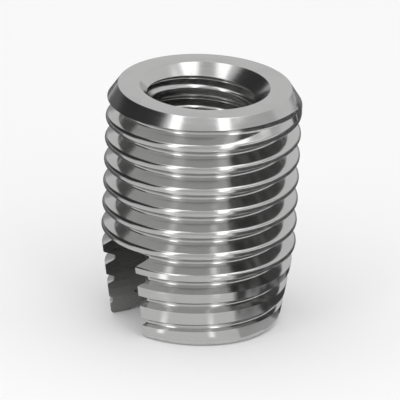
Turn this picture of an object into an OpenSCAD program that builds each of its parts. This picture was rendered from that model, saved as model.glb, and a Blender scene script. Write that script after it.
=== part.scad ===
// Self-tapping threaded insert, turned from one piece of stainless steel.
// It stands on its slotted end, with its axis on Z and its mouth up.
// The outside thread cuts its own way into the part that takes the insert.
// The inside thread then holds a screw.

/* [Body] */
// Length from the slotted end to the mouth
length = 8; // [7:0.1:10]
// Nominal size of the screw, which is the width over the roots of the inside thread
screw_d = 4; // [3:0.1:5]
// Thickness of the wall between the roots of the two threads
wall = 0.675; // [0.5:0.025:1]

/* [Outside thread] */
// Rise of the outside thread in one turn
outer_pitch = 0.75; // [0.65:0.05:0.9]
// Height of its crests above its roots
outer_depth = 0.5; // [0.35:0.05:0.55]
// Width of its flat crests
outer_crest = 0.13; // [0.06:0.01:0.16]
// Width of its flat roots
outer_root = 0.19; // [0.15:0.01:0.3]
// Depth below the mouth at which its groove ends
runout_drop = 0.41; // [0.35:0.005:0.8]
// Direction round the axis in which its groove ends
runout_direction = 330; // [0:1:359]
// Arc over which its groove gets shallower before it ends
runout_arc = 85; // [30:5:120]

/* [Inside thread] */
// Height of its crests above its roots, which leaves the bore for tapping
inner_depth = 0.3; // [0.2:0.02:0.4]
// Rise of the inside thread in one turn
inner_pitch = 0.7; // [0.6:0.05:0.8]
// Width of its flat roots
inner_root = 0.06; // [0.04:0.01:0.08]
// Half of the angle between its flanks
inner_flank_angle = 30; // [27:1:30]
// Depth below the mouth at which its first groove lies, in the direction below
inner_drop = 0.53; // [0.4:0.01:0.7]
// Direction round the axis in which that depth is measured
inner_direction = 60; // [0:1:359]

/* [Mouth] */
// Width of the bevel between the flat face of the mouth and the crests of the outside thread
bevel_w = 0.35; // [0.2:0.01:0.45]
// Height of that bevel
bevel_h = 0.53; // [0.3:0.01:0.8]
// How far the countersink, at either end of the bore, opens past the roots of the inside thread
sink_w = 0.125; // [0.05:0.025:0.25]
// Half of the angle of the countersink
sink_angle = 45; // [40:1:60]

/* [Slotted end] */
// How far the crests taper in, on each side, down to the slotted end
taper_w = 0.435; // [0.2:0.005:0.5]
// Height over which they do so
taper_h = 2.75; // [1.5:0.05:3.5]
// Radius of the rounded edge of the slotted end
tip_edge = 0.14; // [0.08:0.02:0.2]
// Width of the cutting slot, which goes through both walls
slot_w = 2.2; // [1.6:0.1:2.6]
// Depth of the cutting slot from the slotted end
slot_h = 2.85; // [1.5:0.05:3.5]

/* [Hidden] */
// Facets in each turn of the outside thread and of the inside thread
outer_steps = 40;
inner_steps = 36;
// Facets of the tools for round cuts and of the blank
round_steps = 96;
// Steps in the quarter round of the slotted end's edge
edge_steps = 3;
// How far a cutting tool reaches past the surface that it cuts
reach = 1;

// Radii from the inside out
screw_r = screw_d / 2;
bore_r = screw_r - inner_depth;
sink_r = screw_r + sink_w;
root_r = screw_r + wall;
outer_r = root_r + outer_depth;
face_r = outer_r - bevel_w;
tip_r = outer_r - taper_w;

// The outside groove opens towards its mouth by this much on each side, for each unit of radius
outer_slope = (outer_pitch - outer_crest - outer_root) / 2 / outer_depth;
// The cutter stands proud of the crests by less than would make its own turns meet
cutter_proud = 0.4 * outer_crest / 2 / outer_slope;
cutter_r = outer_r + cutter_proud;
// How far the cutter's nose has drawn back where the groove ends, which leaves it clear of the crests
cutter_lift = outer_depth + cutter_proud / 2;

// The tap starts inside the bore by this much, where it cuts nothing
tap_r = bore_r - 0.15;
inner_slope = tan(inner_flank_angle);

// Section of the outside groove's cutter, with its nose drawn back by lift, as points of radius
// and height
function cutter_section(lift) =
    let (half_root = outer_root / 2, half_mouth = half_root + (cutter_r - root_r) * outer_slope)
    [[root_r + lift, half_root], [cutter_r, half_mouth], [cutter_r, -half_mouth], [root_r + lift, -half_root]];

// Section of the inside groove's tap, as points of radius and height
function tap_section() =
    let (half_root = inner_root / 2, half_mouth = half_root + (screw_r - tap_r) * inner_slope)
    [[tap_r, half_mouth], [screw_r, half_root], [screw_r, -half_root], [tap_r, -half_mouth]];

// Points of a quarter round of radius r about [x, y], from straight down to the right
function quarter_round(x, y, r, steps) =
    [for (i = [0:steps]) let (a = -90 + 90 * i / steps) [x + r * cos(a), y + r * sin(a)]];

// A right-hand helical bar through a list of sections, which starts at height top_z in the
// direction start_a and winds downwards, with the same number of facets in each turn
module helical_bar(sections, pitch, steps, top_z, start_a) {
    corners = len(sections[0]);
    last = len(sections) - 1;
    points = [for (i = [0:last], corner = sections[i])
        let (a = start_a - 360 * i / steps)
        [corner[0] * cos(a), corner[0] * sin(a), top_z + corner[1] - pitch * i / steps]];
    sides = [for (i = [0:last - 1], j = [0:corners - 1])
        let (here = i * corners, there = here + corners, k = (j + 1) % corners)
        each [[here + j, here + k, there + k], [here + j, there + k, there + j]]];
    start_cap = [for (j = [corners - 1:-1:0]) j];
    end_cap = [for (j = [0:corners - 1]) last * corners + j];
    polyhedron(points, concat([start_cap], sides, [end_cap]));
}

// The turned blank, as wide as the crests, with the bevel at the mouth and the taper at the tip
module blank() {
    rotate_extrude($fn = round_steps)
    polygon(concat(
        [[0, length], [0, 0]],
        quarter_round(tip_r - tip_edge, tip_edge, tip_edge, edge_steps),
        [[outer_r, taper_h], [outer_r, length - bevel_h], [face_r, length]]
    ));
}

// The groove between the crests of the outside thread, which fades out below the mouth
module outer_groove() {
    fade_steps = outer_steps * runout_arc / 360;
    turns = (length - runout_drop) / outer_pitch + 1;
    sections = [for (i = [0:ceil(turns * outer_steps)])
        cutter_section(cutter_lift * max(0, 1 - i / fade_steps))];
    helical_bar(sections, outer_pitch, outer_steps, length - runout_drop, runout_direction);
}

// The groove between the crests of the inside thread, from clear of one end to clear of the other
module inner_groove() {
    top_z = length - inner_drop + inner_pitch * ceil((inner_drop + inner_pitch / 2) / inner_pitch);
    turns = top_z / inner_pitch + 1;
    sections = [for (i = [0:ceil(turns * inner_steps)]) tap_section()];
    helical_bar(sections, inner_pitch, inner_steps, top_z, inner_direction);
}

// The bore at the crests of the inside thread
module bore() {
    translate([0, 0, -reach])
    cylinder(r = bore_r, h = length + 2 * reach, $fn = round_steps);
}

// A countersink that opens upwards at z = 0, with its point well inside the bore
module countersink() {
    slope = tan(sink_angle);
    rotate_extrude($fn = round_steps)
    polygon([[0, -sink_r / slope], [sink_r + reach * slope, reach], [0, reach]]);
}

// The cutting slot across the slotted end
module cutting_slot() {
    translate([-outer_r - reach, -slot_w / 2, -reach])
    cube([2 * (outer_r + reach), slot_w, slot_h + reach]);
}

module threaded_insert() {
    color("silver")
    difference() {
        blank();
        bore();
        translate([0, 0, length]) countersink();
        mirror([0, 0, 1]) countersink();
        outer_groove();
        inner_groove();
        cutting_slot();
    }
}

threaded_insert();
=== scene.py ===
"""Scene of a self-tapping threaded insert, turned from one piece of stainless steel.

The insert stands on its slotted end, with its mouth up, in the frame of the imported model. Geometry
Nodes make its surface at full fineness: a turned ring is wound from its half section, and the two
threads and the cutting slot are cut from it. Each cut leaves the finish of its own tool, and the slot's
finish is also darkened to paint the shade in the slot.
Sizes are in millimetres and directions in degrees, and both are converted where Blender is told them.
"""

from __future__ import annotations

import logging
import math
from dataclasses import dataclass, field
from enum import Enum
from typing import Any, Mapping, Sequence, Union

import bpy
from mathutils import Matrix, Vector


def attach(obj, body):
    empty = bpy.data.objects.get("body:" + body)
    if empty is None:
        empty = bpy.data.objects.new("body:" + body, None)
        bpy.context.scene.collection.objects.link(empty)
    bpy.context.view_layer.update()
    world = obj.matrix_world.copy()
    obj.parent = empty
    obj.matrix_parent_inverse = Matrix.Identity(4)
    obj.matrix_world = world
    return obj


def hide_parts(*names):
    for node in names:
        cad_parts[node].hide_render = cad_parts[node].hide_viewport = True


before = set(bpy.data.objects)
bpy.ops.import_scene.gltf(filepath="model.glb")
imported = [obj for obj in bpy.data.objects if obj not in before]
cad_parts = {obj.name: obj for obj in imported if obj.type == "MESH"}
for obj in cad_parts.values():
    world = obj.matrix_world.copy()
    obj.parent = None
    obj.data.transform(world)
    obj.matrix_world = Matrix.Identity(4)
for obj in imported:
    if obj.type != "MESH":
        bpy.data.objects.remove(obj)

MM = 0.001
MICRON = 1e-6
NODE = "threaded_insert"
# Value about which a Noise Texture varies
NOISE_MEAN = 0.5
# The finishes that the tools leave. A face's tool is its finish's place in this list
FINISHES = ("Turned", "Thread", "Tapped", "Slot")
log = logging.getLogger("threaded_insert")


# Node trees written as expressions


class Wire:
    """A number that comes out of a node. Python's operators on it add Math nodes."""

    def __init__(self, board: "Board", socket: bpy.types.NodeSocket) -> None:
        """Wraps an output socket of a node on the board."""
        self.board = board
        self.socket = socket

    def __add__(self, other: "Number") -> "Wire":
        """Returns self + other."""
        return self.board.math("ADD", self, other)

    def __radd__(self, other: "Number") -> "Wire":
        """Returns other + self."""
        return self.board.math("ADD", other, self)

    def __sub__(self, other: "Number") -> "Wire":
        """Returns self - other."""
        return self.board.math("SUBTRACT", self, other)

    def __rsub__(self, other: "Number") -> "Wire":
        """Returns other - self."""
        return self.board.math("SUBTRACT", other, self)

    def __mul__(self, other: "Number") -> "Wire":
        """Returns self * other."""
        return self.board.math("MULTIPLY", self, other)

    def __rmul__(self, other: "Number") -> "Wire":
        """Returns other * self."""
        return self.board.math("MULTIPLY", other, self)

    def __truediv__(self, other: "Number") -> "Wire":
        """Returns self / other."""
        return self.board.math("DIVIDE", self, other)

    def __neg__(self) -> "Wire":
        """Returns -self."""
        return self.board.math("MULTIPLY", self, -1.0)

    def clamped(self) -> "Wire":
        """Returns self, kept between 0 and 1."""
        return self.board.math("MINIMUM", self.board.math("MAXIMUM", self, 0.0), 1.0)


Number = Union[Wire, float, int]


class Board:
    """A node tree that is filled in from Python."""

    def __init__(self, tree: bpy.types.NodeTree) -> None:
        """Takes the tree to fill."""
        self.tree = tree

    def plug(self, socket: bpy.types.NodeSocket, value: Any) -> None:
        """Gives a socket a value, a link, or several links.

        Args:
            socket: The input socket.
            value: A Wire, an output socket, a list of either for a socket that takes several, or a
                plain value.
        """
        for one in value if isinstance(value, list) else [value]:
            if isinstance(one, Wire):
                self.tree.links.new(one.socket, socket)
            elif isinstance(one, bpy.types.NodeSocket):
                self.tree.links.new(one, socket)
            else:
                socket.default_value = one

    def node(
        self,
        kind: str,
        settings: Mapping[str, Any] | None = None,
        sockets: Mapping[str | int, Any] | None = None,
    ) -> bpy.types.Node:
        """Adds a node.

        Args:
            kind: The node's type, such as "ShaderNodeBump".
            settings: Its own settings, which are set first. "items" sets how many items an Index
                Switch has.
            sockets: Values or links of its inputs, by name or number.

        Returns:
            The new node.
        """
        node = self.tree.nodes.new(kind)
        for name, setting in (settings or {}).items():
            if name == "items":
                while len(node.index_switch_items) < setting:
                    node.index_switch_items.new()
            else:
                setattr(node, name, setting)
        for key, value in (sockets or {}).items():
            self.plug(node.inputs[key], value)
        return node

    def wire(self, node: bpy.types.Node, output: str | int = 0) -> Wire:
        """Returns one output of a node as a Wire."""
        return Wire(self, node.outputs[output])

    def math(self, operation: str, *values: Number) -> Wire:
        """Adds a Math node.

        Args:
            operation: Blender's name of the operation.
            values: Its one, two or three numbers.

        Returns:
            The result.
        """
        node = self.node("ShaderNodeMath", {"operation": operation}, dict(enumerate(values)))
        return self.wire(node)

    def noise(
        self, place: Any, scale: float, detail: float, roughness: float, shift: Number | None = None
    ) -> Wire:
        """Adds a Noise Texture.

        Args:
            place: The coordinates that it reads.
            scale: How many patches lie in one unit of them.
            detail: How many finer layers it has.
            roughness: How strong each finer layer is.
            shift: Its place in a fourth dimension, if it has one.

        Returns:
            A value that varies about NOISE_MEAN.
        """
        sockets = {"Vector": place, "Scale": scale, "Detail": detail, "Roughness": roughness}
        dimensions = "3D"
        if shift is not None:
            dimensions, sockets["W"] = "4D", shift
        return self.wire(self.node("ShaderNodeTexNoise", {"noise_dimensions": dimensions}, sockets))

    def vector(self, x: Number, y: Number, z: Number) -> bpy.types.NodeSocket:
        """Returns a vector made of three numbers."""
        return self.node("ShaderNodeCombineXYZ", None, {0: x, 1: y, 2: z}).outputs[0]

    def parts(self, vector: bpy.types.NodeSocket) -> tuple[Wire, Wire, Wire]:
        """Returns the three numbers of a vector."""
        node = self.node("ShaderNodeSeparateXYZ", None, {0: vector})
        return self.wire(node, 0), self.wire(node, 1), self.wire(node, 2)


# Sizes of the insert


@dataclass(frozen=True)
class OutsideThread:
    """The self-tapping thread, as the groove between its crests, in millimetres."""

    pitch: float = 0.75
    depth: float = 0.5
    crest: float = 0.19
    root: float = 0.13
    root_radius: float = 0.09
    crest_radius: float = 0.135
    runout_drop: float = 0.41
    runout_direction: float = 330.0
    runout_arc: float = 85.0
    steps: int = 216

    @property
    def slope(self) -> float:
        """How much the groove opens on each side, for each unit of radius."""
        return (self.pitch - self.crest - self.root) / 2 / self.depth


@dataclass(frozen=True)
class InsideThread:
    """The thread that takes the screw, as the groove that the tap leaves, in millimetres."""

    pitch: float = 0.7
    depth: float = 0.3
    root: float = 0.06
    root_radius: float = 0.03
    crest_radius: float = 0.1
    flank_angle: float = 30.0
    drop: float = 0.53
    direction: float = 60.0
    steps: int = 144

    @property
    def slope(self) -> float:
        """How much the groove opens on each side, for each unit of radius."""
        return math.tan(math.radians(self.flank_angle))


@dataclass(frozen=True)
class TurnedRing:
    """The turned form that the threads and the slot are cut from, in millimetres."""

    length: float = 8.0
    screw_radius: float = 2.0
    wall: float = 0.675
    bevel_width: float = 0.35
    bevel_height: float = 0.53
    sink_width: float = 0.125
    sink_angle: float = 45.0
    taper_width: float = 0.435
    taper_height: float = 2.75
    tip_edge: float = 0.14
    edge_break: float = 0.03
    steps: int = 360


@dataclass(frozen=True)
class CuttingSlot:
    """The slot across the slotted end, along X, in millimetres."""

    width: float = 2.2
    height: float = 2.85


# Finishes


class ToolPath(Enum):
    """How the tool that left a surface moved over it."""

    ROUND = "round the axis"
    OUTSIDE_HELIX = "along the outside thread"
    INSIDE_HELIX = "along the inside thread"
    STRAIGHT = "straight across, along X"


@dataclass(frozen=True)
class SteelFinish:
    """Bright stainless steel as one tool leaves it.

    Attributes:
        name: Name of the material.
        path: How the tool moved.
        tint: Colour of the metal, which for the slot is darkened as painted shade.
        roughness: Mean roughness.
        roughness_spread: How far the roughness varies either way.
        mark_spacing: Distance between tool marks, in millimetres.
        mark_depth: Depth of the marks, in micrometres.
        grain_depth: Depth of the fine grain of the metal, in micrometres.
        film: How much the thin film of cutting oil darkens the metal where it gathered.
        seed: Offset of the patterns.
        drifts: How many times the marks drift in a metre.
        sway: How far the drift moves them.
        film_patches: How many patches of film lie in a metre.
        film_contrast: How sharply these patches end.
        film_shift: Offset of the film's pattern from the others.
        grains: How many grains of the metal lie in a metre.
        mark_light: How much lighter and darker the marks are.
    """

    name: str
    path: ToolPath
    tint: tuple[float, float, float] = (0.60, 0.60, 0.595)
    roughness: float = 0.2
    roughness_spread: float = 0.06
    mark_spacing: float = 0.05
    mark_depth: float = 0.5
    grain_depth: float = 0.12
    film: float = 0.1
    seed: float = 0.0
    drifts: float = 420.0
    sway: float = 1.6
    film_patches: float = 900.0
    film_contrast: float = 3.2
    film_shift: float = 7.0
    grains: float = 14000.0
    mark_light: float = 0.1

    def _across(
        self, board: Board, place: bpy.types.NodeSocket, pitches: Mapping[ToolPath, float]
    ) -> bpy.types.NodeSocket:
        """Makes the coordinates in which tool marks lie.

        Args:
            board: The material's node tree.
            place: The coordinates of the surface, in metres.
            pitches: Pitch of each thread, in millimetres.

        Returns:
            A vector that changes only across the marks, in mark spacings.
        """
        scaled = board.node("ShaderNodeVectorMath", {"operation": "SCALE"}, {0: place, "Scale": 1 / MM})
        x, y, z = board.parts(scaled.outputs[0])
        radius = board.math("SQRT", x * x + y * y)
        each = 1 / self.mark_spacing
        if self.path is ToolPath.STRAIGHT:
            return board.vector(z * each, y * each, self.seed)
        if self.path is ToolPath.ROUND:
            return board.vector(radius * each, z * each, self.seed)
        # A thread's marks repeat in each turn, so its height goes round a circle once in each pitch
        pitch = pitches[self.path]
        turn = board.math("ARCTAN2", y, x) / math.tau
        phase = (z / pitch - turn) * math.tau
        size = pitch * each / math.tau
        return board.vector(
            board.math("COSINE", phase) * size,
            board.math("SINE", phase) * size,
            radius * each + self.seed,
        )

    def make(self, pitches: Mapping[ToolPath, float]) -> bpy.types.Material:
        """Builds the material.

        Args:
            pitches: Pitch of each thread, in millimetres.

        Returns:
            The finished material.
        """
        material = bpy.data.materials.new(self.name)
        material.use_nodes = True
        material.node_tree.nodes.clear()
        board = Board(material.node_tree)
        place = board.node("ShaderNodeTexCoord").outputs["Object"]
        across = self._across(board, place, pitches)

        # Slow change along the marks, so that none runs evenly all the way round
        drift = board.noise(place, self.drifts, detail=2.0, roughness=0.5, shift=self.seed)
        marks = board.noise(across, 1.0, detail=3.0, roughness=0.62, shift=drift * self.sway)
        grain = board.noise(place, self.grains, detail=2.0, roughness=0.55)
        patches = board.noise(
            place, self.film_patches, detail=4.0, roughness=0.6, shift=self.seed + self.film_shift
        )

        gathered = ((patches - NOISE_MEAN) * self.film_contrast).clamped()
        light = 1.0 + (marks - NOISE_MEAN) * self.mark_light - gathered * self.film
        colour = board.node(
            "ShaderNodeVectorMath", {"operation": "SCALE"}, {0: self.tint, "Scale": light}
        )
        roughness = (
            self.roughness
            + (marks - NOISE_MEAN) * (2 * self.roughness_spread)
            + (patches - NOISE_MEAN) * self.roughness_spread
        ).clamped()
        height = marks * (self.mark_depth * MICRON) + grain * (self.grain_depth * MICRON)
        bump = board.node(
            "ShaderNodeBump", None, {"Strength": 1.0, "Distance": 1.0, "Height": height}
        )
        surface = board.node(
            "ShaderNodeBsdfPrincipled",
            None,
            {
                "Base Color": colour.outputs[0],
                "Metallic": 1.0,
                "Roughness": roughness,
                "Normal": bump.outputs[0],
            },
        )
        board.node("ShaderNodeOutputMaterial", None, {"Surface": surface.outputs[0]})
        return material


TURNED = SteelFinish("steel_turned", ToolPath.ROUND, roughness=0.17, mark_spacing=0.06)
CUT_THREAD = SteelFinish(
    "steel_cut_thread", ToolPath.OUTSIDE_HELIX, roughness=0.14, mark_spacing=0.07, mark_depth=0.4, seed=3.0
)
TAPPED_THREAD = SteelFinish(
    "steel_tapped_thread", ToolPath.INSIDE_HELIX, roughness=0.15, mark_spacing=0.05, film=0.15, seed=5.0
)
# The slot's tint, half as bright as the other finishes, is painted shade for the dim slot; its roughness
# and marks are the milled finish.
MILLED_WITH_PAINTED_SHADE = SteelFinish(
    "steel_milled_slot_painted_shade",
    ToolPath.STRAIGHT,
    tint=(0.3, 0.3, 0.295),
    roughness=0.28,
    mark_spacing=0.08,
    mark_depth=1.0,
    seed=9.0,
)


# The insert


@dataclass
class ThreadedInsert:
    """The whole insert, one piece.

    Attributes:
        ring: The turned form.
        outside: The self-tapping thread.
        inside: The thread that takes the screw.
        slot: The cutting slot.
        crease: Angle over which two faces meet at a sharp edge, in degrees.
        shave: How deep the cutters of both threads shave the crests, in millimetres, so that they
            round them off in full.
    """

    ring: TurnedRing = field(default_factory=TurnedRing)
    outside: OutsideThread = field(default_factory=OutsideThread)
    inside: InsideThread = field(default_factory=InsideThread)
    slot: CuttingSlot = field(default_factory=CuttingSlot)
    crease: float = 34.0
    shave: float = 0.002

    @property
    def bore_radius(self) -> float:
        """Radius of the bore, at the crests of the inside thread."""
        return self.ring.screw_radius - self.inside.depth

    @property
    def sink_radius(self) -> float:
        """Radius of the countersink's open edge."""
        return self.ring.screw_radius + self.ring.sink_width

    @property
    def root_radius(self) -> float:
        """Radius of the roots of the outside thread."""
        return self.ring.screw_radius + self.ring.wall

    @property
    def outer_radius(self) -> float:
        """Radius of the crests of the outside thread."""
        return self.root_radius + self.outside.depth

    def _tree(self, name: str, sockets: Mapping[str, tuple[str, Any]]) -> tuple[Board, dict[str, Any]]:
        """Starts a Geometry Nodes tree.

        Args:
            name: Name of the tree.
            sockets: Type and default value, or None, of each named input.

        Returns:
            The tree's board, and its inputs by name, numbers as wires.
        """
        tree = bpy.data.node_groups.new(name, "GeometryNodeTree")
        for label, (kind, default) in sockets.items():
            socket = tree.interface.new_socket(label, in_out="INPUT", socket_type=kind)
            if default is not None:
                socket.default_value = default
        tree.interface.new_socket("Geometry", in_out="OUTPUT", socket_type="NodeSocketGeometry")
        board = Board(tree)
        source = board.node("NodeGroupInput")
        numbers = ("NodeSocketFloat", "NodeSocketInt")
        inputs = {
            label: board.wire(source, label) if kind in numbers else source.outputs[label]
            for label, (kind, _) in sockets.items()
        }
        return board, inputs

    def _winding_tree(self) -> bpy.types.NodeTree:
        """Builds the tree that winds a section round the axis.

        The section's X is its radius and its Y its height. It starts at a height and in a direction
        and winds downwards, right-handed. What lies inside a radius can start out there, so that the
        section is flat at first and gets its full depth over its first turns.

        Returns:
            The tree.
        """
        board, given = self._tree(
            "wind_section",
            {
                "Section": ("NodeSocketGeometry", None),
                "Steps in a Turn": ("NodeSocketInt", 36),
                "Turns": ("NodeSocketFloat", 1.0),
                "Pitch": ("NodeSocketFloat", 0.0),
                "Top": ("NodeSocketFloat", 0.0),
                "Direction": ("NodeSocketFloat", 0.0),
                "Flat Radius": ("NodeSocketFloat", 0.0),
                "Flat Turns": ("NodeSocketFloat", 1.0),
                "Caps": ("NodeSocketBool", True),
            },
        )
        steps, turns = given["Steps in a Turn"], given["Turns"]
        # A little slack keeps a whole number of steps from being rounded up
        slack = 0.001
        count = board.math("CEIL", steps * turns - slack) + 1
        line = board.node("GeometryNodeCurvePrimitiveLine", None, {"End": (0.0, 0.0, 1.0)})
        path = board.node(
            "GeometryNodeResampleCurve", None, {"Curve": line.outputs[0], "Count": count}
        )
        index = board.node("GeometryNodeInputIndex").outputs[0]
        stepped = self._captured(board, path.outputs[0], "FLOAT", index)
        position = board.node("GeometryNodeInputPosition").outputs[0]
        drawn = self._captured(board, given["Section"], "VECTOR", position)
        swept = board.node(
            "GeometryNodeCurveToMesh",
            None,
            {"Curve": stepped[0], "Profile Curve": drawn[0], "Fill Caps": given["Caps"]},
        )
        along = Wire(board, stepped[1]) / steps
        out, up, _ = board.parts(drawn[1])
        flatness = board.math("MAXIMUM", 0.0, 1.0 - along / given["Flat Turns"])
        angle = given["Direction"] - along * math.tau
        radius = out + board.math("MAXIMUM", 0.0, given["Flat Radius"] - out) * flatness
        place = board.vector(
            radius * board.math("COSINE", angle),
            radius * board.math("SINE", angle),
            given["Top"] + up - along * given["Pitch"],
        )
        wound = board.node(
            "GeometryNodeSetPosition", None, {"Geometry": swept.outputs[0], "Position": place}
        )
        seam_gap = 0.1 * MICRON
        closed = board.node(
            "GeometryNodeMergeByDistance", None, {"Geometry": wound.outputs[0], "Distance": seam_gap}
        )
        board.node("NodeGroupOutput", None, {0: closed.outputs[0]})
        return board.tree

    @staticmethod
    def _captured(
        board: Board, geometry: Any, kind: str, value: Any
    ) -> tuple[bpy.types.NodeSocket, bpy.types.NodeSocket]:
        """Stores a value on the points of a curve, so that it is still known after a sweep.

        Args:
            board: The tree.
            geometry: The curve.
            kind: Data type of the value.
            value: The value.

        Returns:
            The curve, and the stored value.
        """
        node = board.node("GeometryNodeCaptureAttribute", {"domain": "POINT"})
        node.capture_items.new(kind, "Value")
        board.plug(node.inputs[0], geometry)
        board.plug(node.inputs[1], value)
        return node.outputs[0], node.outputs[1]

    @staticmethod
    def _section(
        board: Board, corners: Sequence[tuple[Number, Number, Number]], arc_steps: int
    ) -> bpy.types.NodeSocket:
        """Draws a closed section with rounded corners.

        Args:
            board: The tree.
            corners: Radius, height and rounding of each corner.
            arc_steps: Steps in each rounding.

        Returns:
            The section as a curve.
        """
        circle = board.node(
            "GeometryNodeCurvePrimitiveCircle", {"mode": "RADIUS"}, {"Resolution": len(corners)}
        )
        index = board.node("GeometryNodeInputIndex").outputs[0]
        places: dict[str | int, Any] = {"Index": index}
        radii: dict[str | int, Any] = {"Index": index}
        for number, (out, up, rounding) in enumerate(corners):
            places[str(number)] = board.vector(out, up, 0.0)
            radii[str(number)] = rounding
        items = len(corners)
        place = board.node("GeometryNodeIndexSwitch", {"data_type": "VECTOR", "items": items}, places)
        radius = board.node("GeometryNodeIndexSwitch", {"data_type": "FLOAT", "items": items}, radii)
        drawn = board.node(
            "GeometryNodeSetPosition",
            None,
            {"Geometry": circle.outputs[0], "Position": place.outputs[0]},
        )
        rounded = board.node(
            "GeometryNodeFilletCurve",
            {"mode": "POLY"},
            {
                "Curve": drawn.outputs[0],
                "Count": arc_steps,
                "Radius": radius.outputs[0],
                "Limit Radius": True,
            },
        )
        return rounded.outputs[0]

    @staticmethod
    def _marked(board: Board, geometry: Any, finish: str) -> bpy.types.NodeSocket:
        """Returns the geometry with the number of its finish stored on all its faces."""
        node = board.node(
            "GeometryNodeStoreNamedAttribute",
            {"data_type": "INT", "domain": "FACE"},
            {"Geometry": geometry, "Name": "tool", "Value": FINISHES.index(finish)},
        )
        return node.outputs[0]

    def _insert_tree(
        self, winding: bpy.types.NodeTree, values: Mapping[str, Any]
    ) -> bpy.types.NodeTree:
        """Builds the tree of the whole insert, with an input for each of its values.

        Args:
            winding: The tree that winds a section round the axis.
            values: The values, by name.

        Returns:
            The tree.
        """
        kinds = {float: "NodeSocketFloat", int: "NodeSocketInt", bpy.types.Material: "NodeSocketMaterial"}
        board, given = self._tree(
            "threaded_insert", {label: (kinds[type(value)], None) for label, value in values.items()}
        )
        ring = self._ring_mesh(board, given, winding)
        outside = self._outside_cutter(board, given, winding)
        inside = self._inside_cutter(board, given, winding)
        slot = self._slot_cutter(board, given)
        cut = board.node(
            "GeometryNodeMeshBoolean",
            {"operation": "DIFFERENCE", "solver": "MANIFOLD"},
            {"Mesh 1": ring, "Mesh 2": [outside, inside, slot]},
        )
        smooth = board.node("GeometryNodeSetShadeSmooth", {"domain": "FACE"}, {"Geometry": cut.outputs[0]})
        bend = board.wire(board.node("GeometryNodeInputMeshEdgeAngle"))
        creased = board.node(
            "GeometryNodeSetShadeSmooth",
            {"domain": "EDGE"},
            {
                "Geometry": smooth.outputs[0],
                "Selection": board.math("GREATER_THAN", bend, given["Crease"]),
                "Shade Smooth": False,
            },
        )
        surface = board.node("GeometryNodeRealizeInstances", None, {0: creased.outputs[0]}).outputs[0]
        tool = board.node("GeometryNodeInputNamedAttribute", {"data_type": "INT"}, {"Name": "tool"})
        # The tools are whole numbers, and those that differ by less than this are the same
        tolerance = 0.5
        for mark, finish in enumerate(FINISHES):
            here = board.math("COMPARE", board.wire(tool), mark, tolerance)
            surface = board.node(
                "GeometryNodeSetMaterial",
                None,
                {"Geometry": surface, "Selection": here, "Material": given[f"{finish} Finish"]},
            ).outputs[0]
        board.node("NodeGroupOutput", None, {0: surface})
        return board.tree

    def _ring_mesh(self, board: Board, given: Mapping[str, Any], winding: Any) -> Any:
        """Winds the half section of the turned form once round the axis.

        Args:
            board: The insert's tree.
            given: Its inputs.
            winding: The tree that winds a section.

        Returns:
            The ring, with the turned finish.
        """
        top, outer = given["Length"], given["Outer Radius"]
        sink, bore, edge = given["Sink Radius"], given["Bore Radius"], given["Edge Break"]
        depth = (sink - bore) / given["Sink Slope"]
        section = self._section(
            board,
            [
                (bore, depth, edge),
                (sink, 0.0, edge),
                (outer - given["Taper Width"], 0.0, given["Tip Edge"]),
                (outer, given["Taper Height"], edge),
                (outer, top - given["Bevel Height"], edge),
                (outer - given["Bevel Width"], top, edge),
                (sink, top, edge),
                (bore, top - depth, edge),
            ],
            arc_steps=4,
        )
        wound = board.node(
            "GeometryNodeGroup",
            {"node_tree": winding},
            {
                "Section": section,
                "Steps in a Turn": given["Ring Steps"],
                "Turns": 1.0,
                "Caps": False,
            },
        )
        return self._marked(board, wound.outputs[0], "Turned")

    def _outside_cutter(self, board: Board, given: Mapping[str, Any], winding: Any) -> Any:
        """Winds the tool that cuts the outside thread.

        The tool follows the groove's root and flanks, rounds off the crests, and then stands
        straight out through them, so that its own turns never meet.

        Args:
            board: The insert's tree.
            given: Its inputs.
            winding: The tree that winds a section.

        Returns:
            The cutter, with the finish that it leaves.
        """
        root, outer, pitch = given["Root Radius"], given["Outer Radius"], given["Outside Pitch"]
        proud = 0.12 * MM
        half_gap = 0.004 * MM
        shave = self.shave * MM
        shaved = outer - shave
        half_root = given["Outside Root"] / 2
        half_mouth = (pitch - given["Outside Crest"]) / 2
        half_top = pitch / 2 - half_gap
        corners = [
            (root, -half_root, given["Outside Root Rounding"]),
            (shaved, -half_mouth, given["Outside Crest Rounding"]),
            (shaved, -half_top, 0.0),
            (outer + proud, -half_top, 0.0),
            (outer + proud, half_top, 0.0),
            (shaved, half_top, 0.0),
            (shaved, half_mouth, given["Outside Crest Rounding"]),
            (root, half_root, given["Outside Root Rounding"]),
        ]
        start = given["Length"] - given["Runout Drop"]
        wound = board.node(
            "GeometryNodeGroup",
            {"node_tree": winding},
            {
                "Section": self._section(board, corners, arc_steps=4),
                "Steps in a Turn": given["Outside Steps"],
                "Turns": start / pitch + 1.0,
                "Pitch": pitch,
                "Top": start,
                "Direction": given["Runout Direction"],
                "Flat Radius": outer + shave,
                "Flat Turns": given["Runout Turns"],
            },
        )
        return self._marked(board, wound.outputs[0], "Thread")

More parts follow.
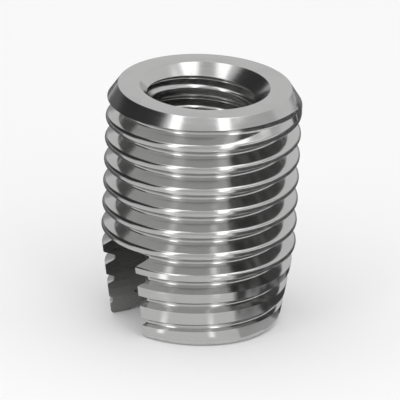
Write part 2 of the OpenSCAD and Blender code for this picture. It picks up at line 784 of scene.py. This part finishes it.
    def _inside_cutter(self, board: Board, given: Mapping[str, Any], winding: Any) -> Any:
        """Winds the tap that cuts the inside thread, from clear of one end to clear of the other.

        Args:
            board: The insert's tree.
            given: Its inputs.
            winding: The tree that winds a section.

        Returns:
            The tap, with the finish that it leaves.
        """
        bore, screw, pitch = given["Bore Radius"], given["Screw Radius"], given["Inside Pitch"]
        start_radius = bore - 0.15 * MM
        shaved = bore + self.shave * MM
        half_root = given["Inside Root"] / 2
        half_mouth = half_root + (screw - bore) * given["Inside Slope"]
        half_top = half_mouth + given["Inside Crest Rounding"]
        corners = [
            (screw, half_root, given["Inside Root Rounding"]),
            (shaved, half_mouth, given["Inside Crest Rounding"]),
            (shaved, half_top, 0.0),
            (start_radius, half_top, 0.0),
            (start_radius, -half_top, 0.0),
            (shaved, -half_top, 0.0),
            (shaved, -half_mouth, given["Inside Crest Rounding"]),
            (screw, -half_root, given["Inside Root Rounding"]),
        ]
        turns_clear = 2.0
        start = given["Length"] - given["Inside Drop"] + turns_clear * pitch
        wound = board.node(
            "GeometryNodeGroup",
            {"node_tree": winding},
            {
                "Section": self._section(board, corners, arc_steps=3),
                "Steps in a Turn": given["Inside Steps"],
                "Turns": start / pitch + 1.0,
                "Pitch": pitch,
                "Top": start,
                "Direction": given["Inside Direction"],
            },
        )
        return self._marked(board, wound.outputs[0], "Tapped")

    def _slot_cutter(self, board: Board, given: Mapping[str, Any]) -> Any:
        """Makes the block that cuts the slot.

        Args:
            board: The insert's tree.
            given: Its inputs.

        Returns:
            The block, with the finish that its cutter leaves.
        """
        reach = 1.0 * MM
        across = (given["Outer Radius"] + reach) * 2
        tall = given["Slot Height"] + reach
        block = board.node(
            "GeometryNodeMeshCube", None, {"Size": board.vector(across, given["Slot Width"], tall)}
        )
        placed = board.node(
            "GeometryNodeTransform",
            None,
            {
                "Geometry": block.outputs[0],
                "Translation": board.vector(0.0, 0.0, given["Slot Height"] - tall / 2),
            },
        )
        return self._marked(board, placed.outputs[0], "Slot")

    def _values(self) -> dict[str, Any]:
        """Returns the value of each input of the insert's tree, in metres and radians."""
        ring, outside, inside = self.ring, self.outside, self.inside
        pitches = {ToolPath.OUTSIDE_HELIX: outside.pitch, ToolPath.INSIDE_HELIX: inside.pitch}
        return {
            "Length": ring.length * MM,
            "Bore Radius": self.bore_radius * MM,
            "Screw Radius": ring.screw_radius * MM,
            "Sink Radius": self.sink_radius * MM,
            "Sink Slope": math.tan(math.radians(ring.sink_angle)),
            "Root Radius": self.root_radius * MM,
            "Outer Radius": self.outer_radius * MM,
            "Bevel Width": ring.bevel_width * MM,
            "Bevel Height": ring.bevel_height * MM,
            "Taper Width": ring.taper_width * MM,
            "Taper Height": ring.taper_height * MM,
            "Tip Edge": ring.tip_edge * MM,
            "Edge Break": ring.edge_break * MM,
            "Ring Steps": ring.steps,
            "Outside Pitch": outside.pitch * MM,
            "Outside Crest": outside.crest * MM,
            "Outside Root": outside.root * MM,
            "Outside Root Rounding": outside.root_radius * MM,
            "Outside Crest Rounding": outside.crest_radius * MM,
            "Runout Drop": outside.runout_drop * MM,
            "Runout Direction": math.radians(outside.runout_direction),
            "Runout Turns": outside.runout_arc / 360.0,
            "Outside Steps": outside.steps,
            "Inside Pitch": inside.pitch * MM,
            "Inside Root": inside.root * MM,
            "Inside Slope": inside.slope,
            "Inside Root Rounding": inside.root_radius * MM,
            "Inside Crest Rounding": inside.crest_radius * MM,
            "Inside Drop": inside.drop * MM,
            "Inside Direction": math.radians(inside.direction),
            "Inside Steps": inside.steps,
            "Slot Width": self.slot.width * MM,
            "Slot Height": self.slot.height * MM,
            "Crease": math.radians(self.crease),
            "Turned Finish": TURNED.make(pitches),
            "Thread Finish": CUT_THREAD.make(pitches),
            "Tapped Finish": TAPPED_THREAD.make(pitches),
            "Slot Finish": MILLED_WITH_PAINTED_SHADE.make(pitches),
        }

    def build(self) -> bpy.types.Object:
        """Makes the insert and puts it in the place of its CAD solid.

        Returns:
            The finished piece.
        """
        maker = bpy.data.objects.new("insert_maker", bpy.data.meshes.new("insert_maker"))
        bpy.context.scene.collection.objects.link(maker)
        values = self._values()
        tree = self._insert_tree(self._winding_tree(), values)
        modifier = maker.modifiers.new("Insert", "NODES")
        modifier.node_group = tree
        for item in tree.interface.items_tree:
            if item.item_type == "SOCKET" and item.in_out == "INPUT":
                modifier[item.identifier] = values[item.name]
        evened = maker.modifiers.new("Even normals", "WEIGHTED_NORMAL")
        evened.mode, evened.weight, evened.keep_sharp = "FACE_AREA", 50, True
        evaluated = maker.evaluated_get(bpy.context.evaluated_depsgraph_get())
        mesh = bpy.data.meshes.new_from_object(evaluated)
        maker.modifiers.clear()
        bpy.data.objects.remove(maker)
        mesh.name = "insert_surface"
        if mesh.materials[0] is None:
            mesh.materials.pop(index=0)
        piece = bpy.data.objects.new("insert_surface", mesh)
        bpy.context.scene.collection.objects.link(piece)
        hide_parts(NODE)
        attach(piece, "root")
        mesh.calc_loop_triangles()
        log.info("insert_surface: %d faces, %d triangles", len(mesh.polygons), len(mesh.loop_triangles))
        return piece


# The studio


@dataclass(frozen=True)
class Aim:
    """A direction as seen from the middle of the insert.

    Attributes:
        azimuth: Degrees to the right of the camera, as the camera sees it.
        elevation: Degrees above the horizon.
    """

    azimuth: float
    elevation: float

    def vector(self, front: float) -> Vector:
        """Returns the unit vector, with the camera in the direction front, in degrees from +X."""
        turn = math.radians(front + self.azimuth)
        rise = math.radians(self.elevation)
        return Vector((math.cos(turn) * math.cos(rise), math.sin(turn) * math.cos(rise), math.sin(rise)))


@dataclass(frozen=True)
class Lamp:
    """A long soft box that leans over the insert and faces it.

    Attributes:
        name: Name of the lamp.
        foot: Direction of the middle of its lower edge.
        head: Direction of the middle of its upper edge.
        width: Its width, in millimetres.
        brightness: How bright its face shows, where 1 is white.
    """

    name: str
    foot: Aim
    head: Aim
    width: float
    brightness: float


@dataclass(frozen=True)
class Card:
    """A soft-edged card that stands, a patch of a sphere about the insert.

    Photographers set such cards round bright metal. Only reflections show them.

    Attributes:
        name: Name of the card.
        low: Where its lower or inner edge starts and ends, in degrees to the right of the camera.
        high: Where its upper or outer edge starts and ends.
        spans: Where these two edges are, in degrees above the horizon.
        brightness: How bright it shows, where 1 is white.
        fade: How far in its edges fade, in degrees.
        mottle: How much brighter its lightest patches are, or 0 where it is even.
        patch: Size of the patches, in millimetres.
    """

    name: str
    low: tuple[float, float]
    high: tuple[float, float]
    spans: tuple[float, float]
    brightness: float
    fade: float = 6.0
    mottle: float = 0.0
    patch: float = 2.0


@dataclass(frozen=True)
class FloorCard(Card):
    """A card that lies on the floor, a sector of a ring round the insert.

    Its spans are in millimetres from the axis. Its outer edge fades over as many millimetres as
    its sides do degrees, and its inner edge doesn't fade.
    """


@dataclass
class Studio:
    """Pale floor, soft light, cards for the reflections, and the camera.

    Attributes:
        front: Direction of the camera from the insert, in degrees from +X.
        elevation: Height of the camera above the horizon, in degrees.
        roll: How far the insert leans to the right in the picture, in degrees.
        distance: Distance of the camera, in millimetres.
        view_width: Width of the picture at the insert, in millimetres.
        pale: Brightness of the surroundings, where 1 is white.
        floor_shade: Colour of the floor.
        floor_half: Half of the width of the floor, in millimetres.
        middle: Point that the camera, the soft boxes and the standing cards face.
        lamp_distance: Distance of the soft boxes' edges from it, in millimetres.
        card_distance: Distance of the first standing card from it, in millimetres.
        lamps: The soft boxes.
        cards: The cards.
    """

    front: float = 240.0
    elevation: float = 22.2
    roll: float = 2.56
    distance: float = 300.0
    view_width: float = 13.0
    pale: float = 0.7
    floor_shade: float = 0.9
    floor_half: float = 400.0
    middle: tuple[float, float, float] = (0.0, 0.0, 4.0)
    lamp_distance: float = 80.0
    card_distance: float = 100.0
    lamps: tuple[Lamp, ...] = (
        Lamp("left_soft_box", Aim(-34.0, 2.0), Aim(-43.0, 60.0), 13.0, 1.6),
        Lamp("right_soft_box", Aim(24.0, 2.0), Aim(35.0, 62.0), 13.0, 1.75),
    )
    cards: tuple[Card, ...] = (
        Card("left_strip_card", (-56.0, -38.0), (-62.0, -38.0), (58.0, 70.0), 1.35),
        Card("right_strip_card", (26.0, 52.0), (27.0, 62.0), (55.0, 70.0), 1.35),
        Card("left_top_card", (-56.0, -38.0), (-174.0, -40.0), (58.0, 89.0), 2.0),
        Card("right_top_card", (26.0, 52.0), (30.0, 174.0), (55.0, 89.0), 2.0),
        Card("front_top_card", (-36.0, 26.0), (-40.0, 34.0), (68.0, 88.0), 0.5, fade=4.0),
        Card("front_card", (-28.0, 18.0), (-32.0, 24.0), (-6.0, 48.0), 0.54, fade=4.0),
        Card("left_front_card", (-84.0, -43.0), (-82.0, -45.0), (-6.0, 22.0), 0.6),
        Card("left_card", (-150.0, -50.0), (-144.0, -54.0), (12.0, 60.0), 0.04, fade=7.0),
        Card("left_low_card", (-154.0, -76.0), (-154.0, -76.0), (-6.0, 25.0), 0.14, fade=9.0),
        Card("left_back_card", (-178.0, -146.0), (-172.0, -142.0), (-6.0, 14.0), 0.34),
        Card("right_card", (34.0, 140.0), (38.0, 134.0), (-6.0, 10.0), 0.07, fade=4.0),
        Card("right_bevel_card", (44.0, 104.0), (44.0, 104.0), (17.0, 47.0), 0.52, fade=4.0),
        Card("right_side_card", (38.0, 96.0), (48.0, 96.0), (6.0, 60.0), 1.25),
        Card("right_high_card", (84.0, 176.0), (84.0, 176.0), (6.0, 60.0), 0.72),
        Card("back_card", (132.0, 182.0), (132.0, 182.0), (-6.0, 16.0), 0.4),
        FloorCard("left_floor_gleam", (-39.0, -20.0), (-39.0, -20.0), (9.0, 90.0), 1.05, fade=4.0),
        FloorCard("right_floor_gleam", (19.0, 37.0), (19.0, 37.0), (9.0, 90.0), 1.05, fade=4.0),
        FloorCard("left_middle_gleam", (-38.0, -26.0), (-38.0, -26.0), (5.4, 9.0), 2.0, fade=4.0),
        FloorCard("right_middle_gleam", (14.0, 25.0), (14.0, 25.0), (5.4, 9.0), 2.0, fade=4.0),
        FloorCard("left_near_gleam", (-31.0, -22.0), (-31.0, -22.0), (3.1, 5.4), 2.0, fade=4.0),
        FloorCard("right_near_gleam", (10.0, 18.0), (10.0, 18.0), (3.1, 5.4), 2.0, fade=4.0),
        FloorCard("right_near_card", (36.0, 84.0), (36.0, 50.0), (2.9, 5.0), 0.45, fade=2.0),
        FloorCard(
            "right_floor_card", (35.0, 152.0), (35.0, 152.0), (2.9, 90.0), 0.05,
            fade=4.0, mottle=0.36, patch=1.7,
        ),
        FloorCard(
            "back_floor_card", (146.0, 184.0), (146.0, 184.0), (2.9, 90.0), 0.16,
            fade=6.0, mottle=0.3, patch=1.8,
        ),
        FloorCard(
            "left_floor_card", (-182.0, -98.0), (-182.0, -98.0), (2.9, 90.0), 0.1,
            fade=6.0, mottle=0.3, patch=1.8,
        ),
        FloorCard("front_floor_card", (-102.0, 40.0), (-102.0, 40.0), (2.9, 90.0), 0.7, fade=5.0),
    )

    def camera(self) -> None:
        """Makes the camera, in the photograph's direction and with its lean."""
        # Nearest and farthest point that it sees, as shares of its distance
        nearest, farthest = 0.05, 20.0
        data = bpy.data.cameras.new("camera")
        data.sensor_width = 36.0
        data.lens = data.sensor_width * self.distance / self.view_width
        data.clip_start = self.distance * MM * nearest
        data.clip_end = self.distance * MM * farthest
        camera = bpy.data.objects.new("camera", data)
        bpy.context.scene.collection.objects.link(camera)
        back = Aim(0.0, self.elevation).vector(self.front)
        lean = Matrix.Rotation(math.radians(self.roll), 3, "Z").to_quaternion()
        camera.location = (Vector(self.middle) + back * self.distance) * MM
        camera.rotation_mode = "QUATERNION"
        camera.rotation_quaternion = back.to_track_quat("Z", "Y") @ lean
        bpy.context.scene.camera = camera

    def light(self) -> None:
        """Makes the soft boxes and the cards."""
        for lamp in self.lamps:
            self._hang_lamp(lamp)
            log.info("%s", lamp.name)
        for place, card in enumerate(self.cards):
            self._stand_card(card, place)
            log.info("%s", card.name)

    def _hang_lamp(self, lamp: Lamp) -> None:
        """Makes a soft box between its foot and its head.

        Args:
            lamp: The soft box.
        """
        foot = lamp.foot.vector(self.front) * self.lamp_distance
        head = lamp.head.vector(self.front) * self.lamp_distance
        away = ((foot + head) / 2).normalized()
        up = (head - foot).normalized()
        across = up.cross(away)
        data = bpy.data.lights.new(lamp.name, "AREA")
        data.shape = "RECTANGLE"
        data.size, data.size_y = lamp.width * MM, (head - foot).length * MM
        data.energy = lamp.brightness * math.pi * data.size * data.size_y
        box = bpy.data.objects.new(lamp.name, data)
        bpy.context.scene.collection.objects.link(box)
        box.location = (Vector(self.middle) + (foot + head) / 2) * MM
        box.rotation_mode = "QUATERNION"
        box.rotation_quaternion = Matrix((across, up, away)).transposed().to_quaternion()
        box.visible_camera = False

    def _stand_card(self, card: Card, place: int) -> None:
        """Makes a card, hidden from all but reflections.

        Args:
            card: The card.
            place: Its place in the list, of which the first card stands in front.
        """
        columns, rows = 48, 32
        # A card that lies is this high above the floor, in millimetres, and each next one is lower
        top_height, height_step = 0.05, 0.0015
        lies = isinstance(card, FloorCard)
        points, strengths = [], []
        for i in range(columns + 1):
            for j in range(rows + 1):
                u, v = i / columns, j / rows
                start = card.low[0] + (card.high[0] - card.low[0]) * v
                end = card.low[1] + (card.high[1] - card.low[1]) * v
                azimuth = start + (end - start) * u
                span = card.spans[0] + (card.spans[1] - card.spans[0]) * v
                if lies:
                    rise = Vector((0.0, 0.0, top_height - height_step * place))
                    point = Aim(azimuth, 0.0).vector(self.front) * span + rise
                else:
                    away = Aim(azimuth, span).vector(self.front) * (self.card_distance + place)
                    point = Vector(self.middle) + away
                points.append(point * MM)
                wide, tall = abs(end - start), card.spans[1] - card.spans[0]
                inner = card.fade if lies else v * tall
                edges = (u * wide, (1 - u) * wide, inner, (1 - v) * tall)
                strengths.append(math.prod(self._eased(edge / card.fade) for edge in edges))
        faces = [
            (k, k + rows + 1, k + rows + 2, k + 1)
            for i in range(columns)
            for k in range(i * (rows + 1), i * (rows + 1) + rows)
        ]
        mesh = bpy.data.meshes.new(card.name)
        mesh.from_pydata(points, [], faces)
        mesh.attributes.new("solid", "FLOAT", "POINT").data.foreach_set("value", strengths)
        mesh.materials.append(self._card_finish(card))
        thing = bpy.data.objects.new(card.name, mesh)
        bpy.context.scene.collection.objects.link(thing)
        thing.visible_camera = thing.visible_diffuse = thing.visible_shadow = False
        thing.visible_transmission = thing.visible_volume_scatter = False

    @staticmethod
    def _eased(part: float) -> float:
        """Returns an S-shaped rise from 0 to 1 as part goes from 0 to 1."""
        part = min(1.0, max(0.0, part))
        return part * part * (3.0 - 2.0 * part)

    @staticmethod
    def _card_finish(card: Card) -> bpy.types.Material:
        """Makes a card's brightness, even or mottled, which fades out towards its edges.

        Args:
            card: The card.

        Returns:
            The material.
        """
        material = bpy.data.materials.new(card.name)
        material.use_nodes = True
        material.node_tree.nodes.clear()
        board = Board(material.node_tree)
        solid = board.node("ShaderNodeAttribute", {"attribute_name": "solid"}).outputs["Fac"]
        clear = board.node("ShaderNodeBsdfTransparent")
        glow = board.node("ShaderNodeEmission", None, {"Strength": card.brightness}).outputs[0]
        if card.mottle:
            contrast = 5.0
            place = board.node("ShaderNodeTexCoord").outputs["Object"]
            noise = board.noise(place, 1 / (card.patch * MM), detail=2.0, roughness=0.5)
            light = ((noise - NOISE_MEAN) * contrast).clamped()
            lighter = board.node("ShaderNodeEmission", None, {"Strength": card.brightness + card.mottle})
            patched = {0: light, 1: glow, 2: lighter.outputs[0]}
            glow = board.node("ShaderNodeMixShader", None, patched).outputs[0]
        mixed = board.node("ShaderNodeMixShader", None, {0: solid, 1: clear.outputs[0], 2: glow})
        board.node("ShaderNodeOutputMaterial", None, {"Surface": mixed.outputs[0]})
        return material

    def floor(self) -> None:
        """Makes the pale floor, which is clear only to the camera and only from below."""
        half = self.floor_half * MM
        mesh = bpy.data.meshes.new("floor")
        mesh.from_pydata(
            [(-half, -half, 0), (half, -half, 0), (half, half, 0), (-half, half, 0)], [], [(0, 1, 2, 3)]
        )
        material = bpy.data.materials.new("floor_pale")
        material.use_nodes = True
        material.node_tree.nodes.clear()
        board = Board(material.node_tree)
        colour = (self.floor_shade, self.floor_shade, self.floor_shade, 1.0)
        matt = board.node("ShaderNodeBsdfDiffuse", None, {"Color": colour, "Roughness": 0.0})
        clear = board.node("ShaderNodeBsdfTransparent")
        seen = board.wire(board.node("ShaderNodeLightPath"), "Is Camera Ray")
        below = board.wire(board.node("ShaderNodeNewGeometry"), "Backfacing")
        mixed = board.node(
            "ShaderNodeMixShader", None, {0: seen * below, 1: matt.outputs[0], 2: clear.outputs[0]}
        )
        board.node("ShaderNodeOutputMaterial", None, {"Surface": mixed.outputs[0]})
        mesh.materials.append(material)
        floor = bpy.data.objects.new("floor", mesh)
        bpy.context.scene.collection.objects.link(floor)

    def surroundings(self) -> None:
        """Makes the pale surroundings, which light the floor a little more than they show."""
        world = bpy.data.worlds.new("surroundings")
        bpy.context.scene.world = world
        world.use_nodes = True
        world.node_tree.nodes.clear()
        board = Board(world.node_tree)
        ray = board.node("ShaderNodeLightPath")
        shown = (
            board.wire(ray, "Is Camera Ray")
            + board.wire(ray, "Is Glossy Ray")
            + board.wire(ray, "Is Transmission Ray")
        ).clamped()
        strength = 1.0 + shown * (self.pale - 1.0)
        white = (1.0, 1.0, 1.0, 1.0)
        glow = board.node("ShaderNodeBackground", None, {"Color": white, "Strength": strength})
        board.node("ShaderNodeOutputWorld", None, {"Surface": glow.outputs[0]})

    def build(self) -> None:
        """Makes everything round the insert, the camera first."""
        self.camera()
        self.floor()
        self.surroundings()
        self.light()
        bpy.context.scene.view_settings.view_transform = "Standard"


def main() -> None:
    """Builds the studio and the insert."""
    logging.basicConfig(level=logging.INFO, format="%(name)s: %(message)s")
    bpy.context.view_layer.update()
    Studio().build()
    ThreadedInsert().build()


if __name__ == "__main__":
    main()
